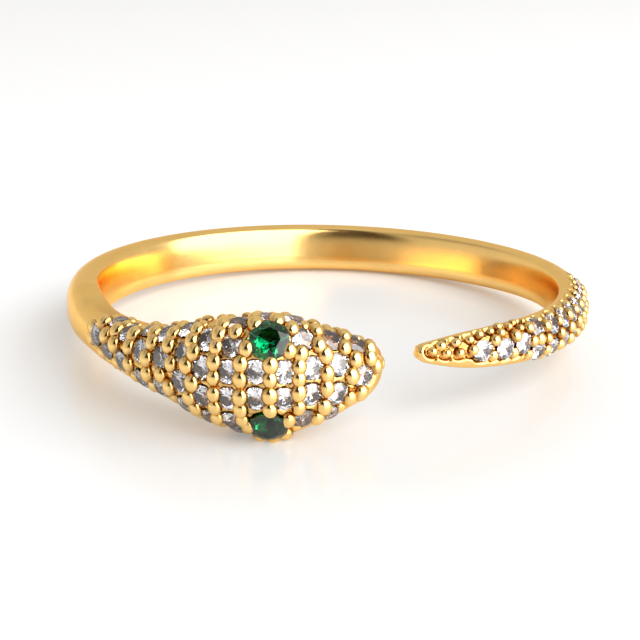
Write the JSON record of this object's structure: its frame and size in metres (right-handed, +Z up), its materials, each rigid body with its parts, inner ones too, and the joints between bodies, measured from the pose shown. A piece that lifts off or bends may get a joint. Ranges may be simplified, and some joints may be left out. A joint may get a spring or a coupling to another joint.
{
  "type": "open snake ring",
  "caption": "Open finger ring shaped as a snake, with a stone-set head and a tapering stone-set tail that face each other across a gap.",
  "frame": {"origin": "middle of the ring's bounding box, on the surface that it lies on", "axes": "+Z up from that surface, nearly along the finger hole; -Y towards the gap between head and tail, with the head on the -X side"},
  "size_m": [0.0202, 0.0216, 0.0044],
  "materials": {
    "gold": "polished yellow gold plating over brass",
    "clear_stone": "clear faceted stone",
    "green_stone": "deep green faceted stone"
  },
  "bodies": {
    "root": {"band": "gold", "head_stones": "clear_stone", "tail_stones": "clear_stone", "eye_upper": "green_stone", "eye_lower": "green_stone"}
  },
  "joints": []
}
